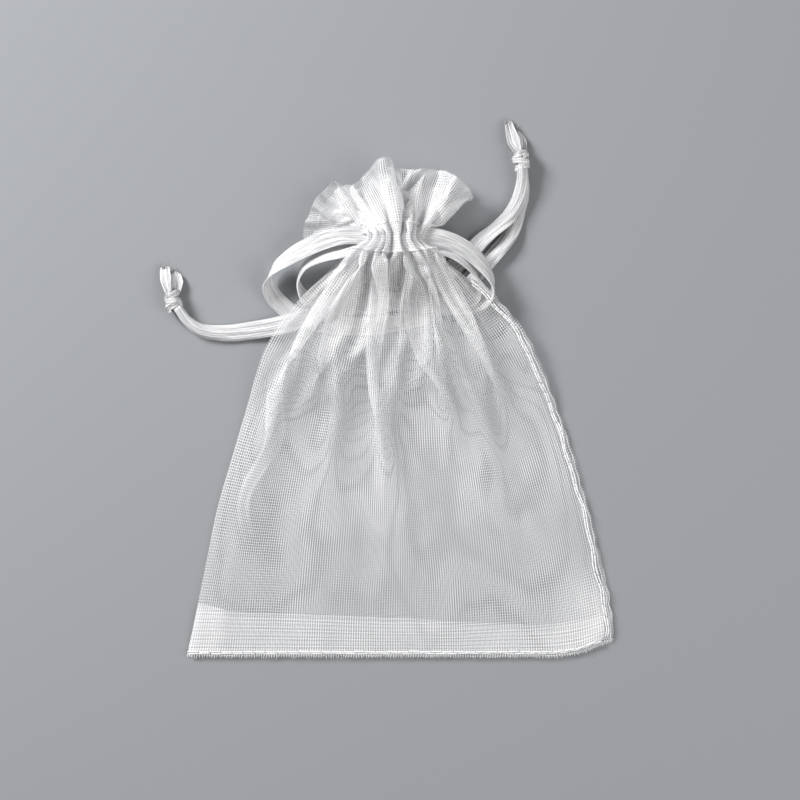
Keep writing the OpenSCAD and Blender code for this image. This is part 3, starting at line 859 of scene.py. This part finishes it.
class Strand:
    """One strand of ribbon along a route in mm; turns and curls are (route point, degrees) pairs."""

    def __init__(self, route, turns, curls, seed):
        route = np.asarray(route, float)
        self.rings, self.along = smooth_path(route, RING_STEP)
        marks = np.array([self.along[np.linalg.norm(self.rings - p, axis=1).argmin()] for p in route])
        turn, curl = (self.blend_marks(marks, pairs) for pairs in (turns, curls))
        _, side, face = ribbon_axes(self.rings, turn)
        loops = section(self.rings, side, face, RIBBON_W, curl, self.along, seed)
        # a turned or curled section is raised until its lowest side is where a flat one's would be
        lift = self.rings[:, 2] - RIBBON_T / 2 - loops[:, :, 2].min(axis=1)
        lift = running_mean(lift, 4)
        self.rings[:, 2] += lift
        self.loops = loops + lift[:, None, None] * UP
        self.loops[..., 2] = np.maximum(self.loops[..., 2], TABLE)

    def blend_marks(self, marks, pairs):
        """The angle at each ring, in radians, eased between the marked points."""
        places = [marks[i] for i, _ in pairs]
        values = np.radians(np.interp(self.along, places, [value for _, value in pairs]))
        return running_mean(values, 6)

    def nearest(self, place):
        """The ring nearest to a place, seen from above."""
        return int(np.linalg.norm(self.rings[:, :2] - np.asarray(place), axis=1).argmin())

    def piece(self, name, first, last, material):
        """A piece of the strand from one ring to another, and its centreline."""
        part = slice(first, last + 1)
        points, faces, uvs = skin_mesh(self.loops[part], self.along[part], RIBBON_W)
        return make_piece(name, points, faces, uvs, material), self.rings[part]


def make_drawstring(key, strands, split_at, material):
    """The strands of one ribbon, each cut in two behind the pouch.
    """
    for which, strand in strands.items():
        cut_at = strand.nearest(split_at[which])
        near, near_rings = strand.piece(f"ribbon_{key}_{which}_near", 0, cut_at, material)
        far, far_rings = strand.piece(f"ribbon_{key}_{which}_far", cut_at, len(strand.rings) - 1, material)
        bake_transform(near)
        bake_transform(far)
        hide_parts(f"ribbon_{key}_curve_{which}", f"ribbon_{key}_casing")
        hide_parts(f"ribbon_{key}_run_{which}", f"ribbon_{key}_end_{which}")


def joined_piece(name, parts, material, lowest=TABLE):
    """One piece of several skins, with nothing below its lowest height."""
    points, faces, uvs, base = [], [], [], 0
    for part_points, part_faces, part_uvs in parts:
        points.append(part_points)
        uvs.append(part_uvs)
        faces += [tuple(i + base for i in face) for face in part_faces]
        base += len(part_points)
    points = np.vstack(points)
    points[:, 2] = np.maximum(points[:, 2], lowest)
    return make_piece(name, points, faces, np.vstack(uvs), material)


def wrap(center, axis, radius, shift, tilt, turns, width, seed):
    """A band of ribbon wound round a knot's axis, tilted and shifted along it."""
    noise = np.random.default_rng(seed)
    axis = unit(np.asarray(axis, float))
    across = unit(np.cross(axis, UP))
    up = np.cross(across, axis)
    angle = np.linspace(0, 2 * np.pi * turns, int(26 * turns)) + noise.uniform(0, 6)
    wobble = 1 + 0.07 * np.sin(3 * angle + noise.uniform(0, 6))
    wobble += 0.05 * np.sin(5 * angle + noise.uniform(0, 6))
    out = across * np.cos(angle)[:, None] + up * np.sin(angle)[:, None]
    slide = np.linspace(shift[0], shift[1], len(angle)) + tilt * np.cos(angle)
    rings = np.asarray(center) + out * (radius * wobble)[:, None] + axis * slide[:, None]
    forward = unit(np.gradient(rings, axis=0))
    side = unit(axis - forward * (forward @ axis)[:, None])
    face = np.cross(side, forward)
    face *= np.sign((face * out).sum(axis=1))[:, None]
    along = np.arange(len(angle)) * (2 * np.pi * radius * turns / len(angle))
    curl = np.full(len(angle), 0.9)
    loops = section(rings, side, face, width, curl, along, seed)
    if np.cross(side[0], face[0]) @ forward[0] > 0:
        loops = loops[:, ::-1]
    return skin_mesh(loops, along, width)


def make_knot(key, center, axis, material, seed):
    """An overhand knot: a packed core with bands of ribbon wound over it."""
    bands = [  # radius, shift from and to, tilt, turns, width
        (0.72, (-1.1, 1.1), 0.0, 2.2, 1.9),
        (1.12, (-1.15, -0.75), 0.16, 1.1, 1.2),
        (1.22, (-0.15, 0.15), -0.30, 1.05, 1.15),
        (1.08, (1.15, 0.8), 0.25, 1.1, 1.1),
        (1.30, (-0.45, 0.45), 0.8, 0.55, 0.9)]
    parts = [wrap(center, axis, *band, seed + i) for i, band in enumerate(bands)]
    knot = joined_piece(f"ribbon_{key}_tied_knot", parts, material, lowest=2 * TABLE)
    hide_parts(f"ribbon_{key}_knot")
    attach(knot, f"ribbon_{key}_end")
    return knot


def tail(route, widths, turns, curls, seed):
    """A short frayed end of ribbon past the knot, and the points and direction of its cut edge."""
    rings, along = smooth_path(np.asarray(route, float), 0.3)
    share = along / along[-1]
    forward, side, face = ribbon_axes(rings, np.radians(np.interp(share, [0, 1], turns)))
    width = np.interp(share, [w[0] for w in widths], [w[1] for w in widths])
    curl = np.radians(np.interp(share, [0, 1], curls))
    loops = section(rings, side, face, width, curl, along, seed)
    jagged = np.random.default_rng(seed).uniform(-0.45, 0.25, loops.shape[1] // 2)
    jagged = np.concatenate([jagged, jagged[::-1]])
    loops[-1] += forward[-1] * jagged[:, None]
    loops[..., 2] += np.maximum(2 * TABLE - loops[..., 2].min(axis=1), 0)[:, None]
    edge = loops[-1, :loops.shape[1] // 2:3]
    return skin_mesh(loops, along, 2.0), edge, forward[-1]


def make_tails(key, ends, loose, material):
    """The two tails past a knot, with loose threads at their cut edges and at the places given as loose."""
    parts, edges = [], []
    for end in ends:
        part, edge, forward = tail(**end)
        parts.append(part)
        edges += [(point, forward) for point in edge]
    for point, forward in edges + loose:
        direction = unit(np.asarray(forward) + rng.normal(0, 0.35, 3))
        parts.append(hair(np.asarray(point), direction, rng.uniform(0.35, 1.1), LOOSE_R))
    piece = joined_piece(f"ribbon_{key}_frayed_tails", parts, material)
    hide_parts(f"ribbon_{key}_tails")
    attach(piece, f"ribbon_{key}_end")
    return piece


def hair(root, direction, length, radius):
    """One loose thread: a thin three-sided spike with a bend in it."""
    bend = unit(np.cross(direction, rng.normal(0, 1, 3))) * length * 0.15
    middle = [root, root + direction * length * 0.5 + bend, root + direction * length]
    return tube(np.array(middle), [radius, radius * 0.8, radius * 0.3], 3)


def tube(path, radius, sides=6):
    """A round thread along a path."""
    forward = unit(np.gradient(path, axis=0))
    helper = np.array([0.31, 0.17, 0.94])
    side = unit(np.cross(forward, helper))
    up = np.cross(side, forward)
    turn = np.linspace(0, 2 * np.pi, sides, endpoint=False)
    radius = np.broadcast_to(radius, len(path))[:, None, None]
    ring = side[:, None] * np.cos(turn)[:, None] + up[:, None] * np.sin(turn)[:, None]
    points = (path[:, None] + ring * radius).reshape(-1, 3)
    faces = grid_faces(len(path), sides, closed=True)
    faces += [tuple(range(sides))[::-1], tuple(range((len(path) - 1) * sides, len(path) * sides))]
    along = distances(path)
    uvs = np.stack([np.tile(np.linspace(0, 0.5, sides), len(path)), np.repeat(along, sides)], axis=1)
    return points, faces, uvs


def make_ribbons(material):
    """Ribbon A leaves on the left and has its knot on the right; ribbon B goes the other way round."""
    a_tips = [make_knot("a", A_KNOT, A_KNOT_AXIS, material, 11), make_tails("a", A_TAILS, [], material)]
    b_tips = [make_knot("b", B_KNOT, B_KNOT_AXIS, material, 21), make_tails("b", B_TAILS, B_LOOSE, material)]
    a_strands = {"outer": Strand(A_FRONT_TURN + A_OUTER, A_OUTER_TURN, A_OUTER_CURL, 31),
                 "inner": Strand(A_BACK_TURN + A_INNER, A_INNER_TURN, A_INNER_CURL, 32)}
    b_strands = {"outer": Strand(B_FRONT_TURN + B_OUTER, B_OUTER_TURN, B_CURL, 33),
                 "inner": Strand(B_BACK_TURN + B_INNER, B_INNER_TURN, B_CURL, 34)}
    make_drawstring("a", a_strands, {"outer": (-3, 13.5), "inner": (-4, 17)},
                    material=material)
    make_drawstring("b", b_strands, {"outer": (-2, 17.6), "inner": (-2, 17.6)},
                    material=material)


# ---- Seams and stitches ----

def to_right(line):
    """The level direction to the right of a line, at each of its points."""
    forward = unit(np.gradient(line, axis=0))
    return unit(np.cross(forward, UP))


def allowance(line, width, layers, wave, warp_along=False):
    """Layers of cloth that stick out past a seam, with a wavy raw edge."""
    out = to_right(line)
    along = distances(line)
    steps = np.array([0, 0.35, 0.7, 1.0])
    parts = []
    for layer in range(layers):
        ripple = wave * (np.sin(along * 0.9 + 2 * layer) + 0.6 * np.sin(along * 0.37 + layer))
        reach = width * (1 + 0.12 * np.sin(along * 0.6 + 3 * layer) + 0.1 * np.sin(along * 1.9 + layer))
        rows = [line + out * (reach * k)[:, None] + UP * (ripple * k + 0.14 * layer)[:, None] for k in steps]
        block = np.stack(rows, axis=1)
        block[..., 2] = np.maximum(block[..., 2], 0.06 + 0.1 * layer)
        u, v = (k.ravel() for k in np.meshgrid(steps * width, along))
        uvs = np.stack([u, v] if warp_along else [v, u], axis=1)
        parts.append((block.reshape(-1, 3), grid_faces(len(line), len(steps)), uvs))
    return parts


def resample(line, step):
    """The line's points again, a step apart."""
    return smooth_path(line, step)[0]


def dashes(line, stitch, gap, radius, lift):
    """A row of sewn stitches along a line: each a short thread that dips into the cloth at its ends."""
    along = distances(line)
    parts = []
    for start in np.arange(0.2, along[-1] - stitch, stitch + gap):
        places = np.linspace(start, start + stitch, 6)
        path = points_at(line, along, places)
        path[:, 2] += lift * np.sin(np.linspace(0, np.pi, len(path))) + rng.normal(0, 0.01)
        path[:, :2] += rng.normal(0, 0.03, 2)
        parts.append(tube(path, radius * rng.uniform(0.9, 1.1)))
    return parts


def sewn_piece(name, parts, material, slot, *replaced):
    """A piece of the seams, which rides on the pouch."""
    piece = joined_piece(name, parts, material)
    if replaced:
        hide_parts(*replaced)
    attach(piece, "pouch")
    return piece


def make_allowances(bottom_edge, side, weave):
    """The raw cloth past the bottom seam and the side seam."""
    below = allowance(resample(bottom_edge, 0.8), BOTTOM_IN, layers=2, wave=0.05)
    sewn_piece("bottom_allowance", below, weave, "organza", "bottom_seam")
    beside = allowance(resample(side, 0.8), SEAM_IN, layers=2, wave=0.16, warp_along=True)
    sewn_piece("side_allowance", beside, weave, "organza", "side_seam")


def make_fringe(bottom_edge, thread):
    """The warp ends that stick out of both layers along the bottom."""
    fringe = []
    edge = resample(bottom_edge, THREAD_PITCH)
    for point, out in zip(edge, to_right(edge)):
        for layer in range(2):
            root = point + out * (BOTTOM_IN - 0.2) + UP * (0.1 * layer)
            fringe.append(hair(root, unit(out + rng.normal(0, 0.18, 3)), rng.uniform(0.25, 0.75), LOOSE_R))
    sewn_piece("bottom_fringe", fringe, thread, "thread")


def make_sewing(bottom, side, thread):
    """Two close rows of stitches along the bottom and two up the side, which wander a little."""
    line = resample(bottom, RING_STEP)
    rows = dashes(line + UP * 0.22, stitch=1.8, gap=0.02, radius=0.14, lift=0.05)
    rows += dashes(line + np.array([0, -0.25, 0.16]), stitch=1.8, gap=0.05, radius=0.11, lift=0.04)
    sewn_piece("bottom_sewing", rows, thread, "thread", "bottom_stitches")
    line = resample(side, RING_STEP)
    along = np.arange(len(line)) * RING_STEP
    line = line + to_right(line) * (0.13 * np.sin(0.95 * along) + 0.1 * np.sin(0.37 * along))[:, None]
    rows = dashes(line + UP * 0.22, stitch=1.8, gap=0.02, radius=0.13, lift=0.03)
    line = line + to_right(line) * 0.36
    rows += dashes(line + UP * 0.2, stitch=1.7, gap=0.05, radius=0.12, lift=0.03)
    sewn_piece("side_sewing", rows, thread, "thread", "side_stitches")


def make_seams(cloth, weave, thread):
    """The seams along the bottom and up the right side: raw cloth, fringe and stitches."""
    (front, _), _ = cloth.halves()
    bottom = cloth.p[0, front]
    bottom_edge = np.vstack([bottom, bottom[-1] + unit(bottom[-1] - bottom[-4]) * SEAM_IN])
    side = cloth.p[:SEAM_ROWS, HALF_ROUND]
    make_allowances(bottom_edge, side, weave)
    make_fringe(bottom_edge, thread)
    make_sewing(bottom, side, thread)


def make_casing_rows(cloth, thread):
    """The two rows of stitches that make the ribbons' channel, gathered with the cloth."""
    parts = []
    centre = np.array([cloth.neck_x, 0, cloth.neck_z])
    for row in (BODY_ROWS, BODY_ROWS + CASING_ROWS):
        line = np.vstack([cloth.p[row], cloth.p[row, :1]])
        away = line - centre
        away[:, 1] = 0
        parts += dashes(line + unit(away) * 0.05, stitch=1.5, gap=0.3, radius=0.075, lift=0.02)
    sewn_piece("casing_sewing", parts, thread, "thread", "casing_stitches")


make_camera()
make_light()
make_floor()
thread = sewing_thread()
make_ribbons(ribbon_weave())
cloth = make_cloth()
make_seams(cloth, organza("organza_seam"), thread)
make_casing_rows(cloth, thread)
